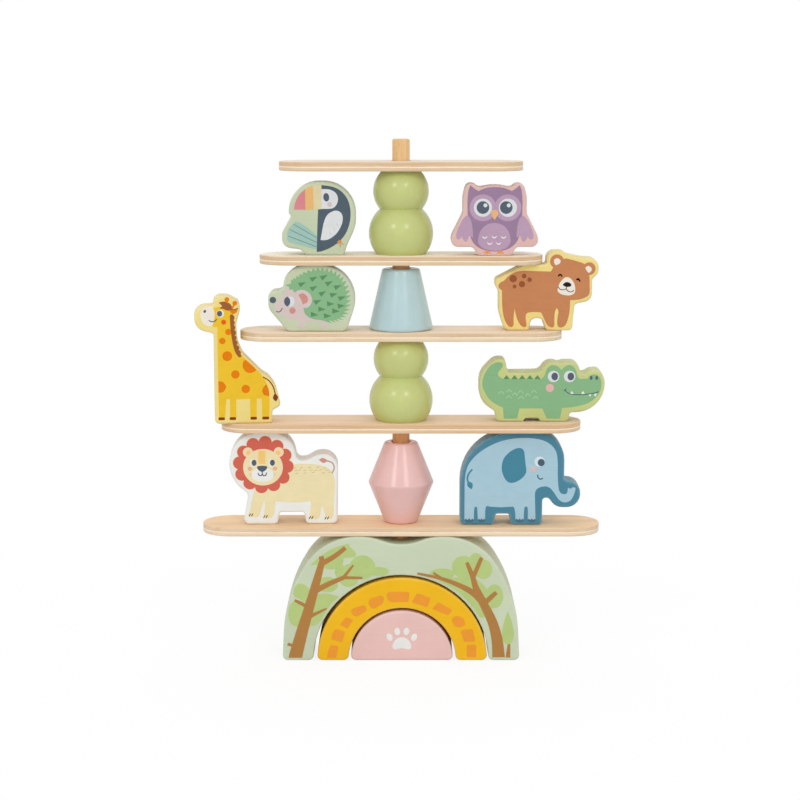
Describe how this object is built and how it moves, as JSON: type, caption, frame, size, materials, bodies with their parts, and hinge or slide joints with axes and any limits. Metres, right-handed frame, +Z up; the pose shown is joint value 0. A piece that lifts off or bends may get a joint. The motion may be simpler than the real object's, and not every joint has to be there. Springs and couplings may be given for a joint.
{
  "type": "wooden animal stacking game",
  "caption": "Wooden stacking game: planks and turned beads threaded on a dowel over a nested arch base, with printed animal blocks standing on and carrying the planks.",
  "frame": {"origin": "on the floor, on the dowel's axis, in the middle of the half disc's underside", "axes": "+Z up along the dowel, -Y towards the printed front, +X to the right along the planks"},
  "size_m": [0.2856, 0.0456, 0.364],
  "materials": {
    "sage_paint": "matt sage paint with printed trees",
    "yellow_paint": "matt yellow paint with printed cobbles",
    "rose_paint": "matt rose paint",
    "beech": "bare sanded beech",
    "plywood": "bare sanded plywood with visible plies on its edges",
    "pink_lacquer": "satin pink lacquer",
    "green_lacquer": "satin green lacquer",
    "blue_lacquer": "satin blue lacquer",
    "lion_block": "white paint with a printed lion",
    "elephant_block": "teal paint with a printed elephant",
    "giraffe_block": "pale yellow paint with a printed giraffe",
    "crocodile_block": "lime paint with a printed crocodile",
    "hedgehog_block": "sage paint with a printed hedgehog",
    "bear_block": "yellow paint with a printed bear",
    "toucan_block": "sage paint with a printed toucan",
    "owl_block": "rose paint with a printed owl"
  },
  "bodies": {
    "outer_arch": {"outer_arch": "sage_paint"},
    "middle_arch": {"middle_arch": "yellow_paint"},
    "half_disc": {"half_disc": "rose_paint"},
    "dowel": {"dowel": "beech"},
    "plank_1": {"plank_1": "plywood"},
    "plank_2": {"plank_2": "plywood"},
    "plank_3": {"plank_3": "plywood"},
    "plank_4": {"plank_4": "plywood"},
    "plank_5": {"plank_5": "plywood"},
    "pink_bead": {"pink_bead": "pink_lacquer"},
    "lower_green_bead": {"lower_green_bead": "green_lacquer"},
    "blue_bead": {"blue_bead": "blue_lacquer"},
    "upper_green_bead": {"upper_green_bead": "green_lacquer"},
    "lion": {"lion": "lion_block"},
    "elephant": {"elephant": "elephant_block"},
    "giraffe": {"giraffe": "giraffe_block"},
    "crocodile": {"crocodile": "crocodile_block"},
    "hedgehog": {"hedgehog": "hedgehog_block"},
    "bear": {"bear": "bear_block"},
    "toucan": {"toucan": "toucan_block"},
    "owl": {"owl": "owl_block"}
  },
  "joints": [
    {"name": "middle_arch_out", "type": "slide", "parent": "outer_arch", "child": "middle_arch", "axis": [0, 1, 0], "range_m": [-0.06, 0.06]},
    {"name": "half_disc_out", "type": "slide", "parent": "outer_arch", "child": "half_disc", "axis": [0, 1, 0], "range_m": [-0.06, 0.06]},
    {"name": "dowel_lift", "type": "slide", "parent": "outer_arch", "child": "dowel", "axis": [0, 0, 1], "range_m": [0, 0.3]},
    {"name": "plank_1_lift", "type": "slide", "parent": "outer_arch", "child": "plank_1", "axis": [0, 0, 1], "range_m": [0, 0.285]},
    {"name": "pink_bead_turn", "type": "hinge", "parent": "plank_1", "child": "pink_bead", "pos_m": [0, 0, 0.2], "axis": [0, 0, 1], "continuous": true},
    {"name": "plank_2_lift", "type": "slide", "parent": "pink_bead", "child": "plank_2", "axis": [0, 0, 1], "range_m": [0, 0.21]},
    {"name": "lower_green_bead_turn", "type": "hinge", "parent": "plank_2", "child": "lower_green_bead", "pos_m": [0, 0, 0.2], "axis": [0, 0, 1], "range_deg": [-150, 150]},
    {"name": "plank_3_lift", "type": "slide", "parent": "lower_green_bead", "child": "plank_3", "axis": [0, 0, 1], "range_m": [0, 0.145]},
    {"name": "blue_bead_turn", "type": "hinge", "parent": "plank_3", "child": "blue_bead", "pos_m": [0, 0, 0.2], "axis": [0, 0, 1], "continuous": true},
    {"name": "plank_4_lift", "type": "slide", "parent": "blue_bead", "child": "plank_4", "axis": [0, 0, 1], "range_m": [0, 0.09]},
    {"name": "upper_green_bead_turn", "type": "hinge", "parent": "plank_4", "child": "upper_green_bead", "pos_m": [0, 0, 0.2], "axis": [0, 0, 1], "continuous": true},
    {"name": "plank_5_lift", "type": "slide", "parent": "upper_green_bead", "child": "plank_5", "axis": [0, 0, 1], "range_m": [0, 0.03]},
    {"name": "lion_out", "type": "slide", "parent": "plank_1", "child": "lion", "axis": [0, 1, 0], "range_m": [-0.045, 0.045]},
    {"name": "elephant_out", "type": "slide", "parent": "plank_1", "child": "elephant", "axis": [0, 1, 0], "range_m": [-0.045, 0.045]},
    {"name": "giraffe_out", "type": "slide", "parent": "plank_2", "child": "giraffe", "axis": [-0.1045, 0.9945, 0], "range_m": [-0.045, 0.045]},
    {"name": "crocodile_out", "type": "slide", "parent": "plank_2", "child": "crocodile", "axis": [0, 1, 0], "range_m": [-0.045, 0.045]},
    {"name": "hedgehog_out", "type": "slide", "parent": "plank_3", "child": "hedgehog", "axis": [0, 1, 0], "range_m": [-0.045, 0.045]},
    {"name": "bear_out", "type": "slide", "parent": "plank_3", "child": "bear", "axis": [0, 1, 0], "range_m": [-0.045, 0.045]},
    {"name": "toucan_out", "type": "slide", "parent": "plank_4", "child": "toucan", "axis": [0, 1, 0], "range_m": [-0.045, 0.045]},
    {"name": "owl_out", "type": "slide", "parent": "plank_4", "child": "owl", "axis": [0, 1, 0], "range_m": [-0.045, 0.045]}
  ]
}
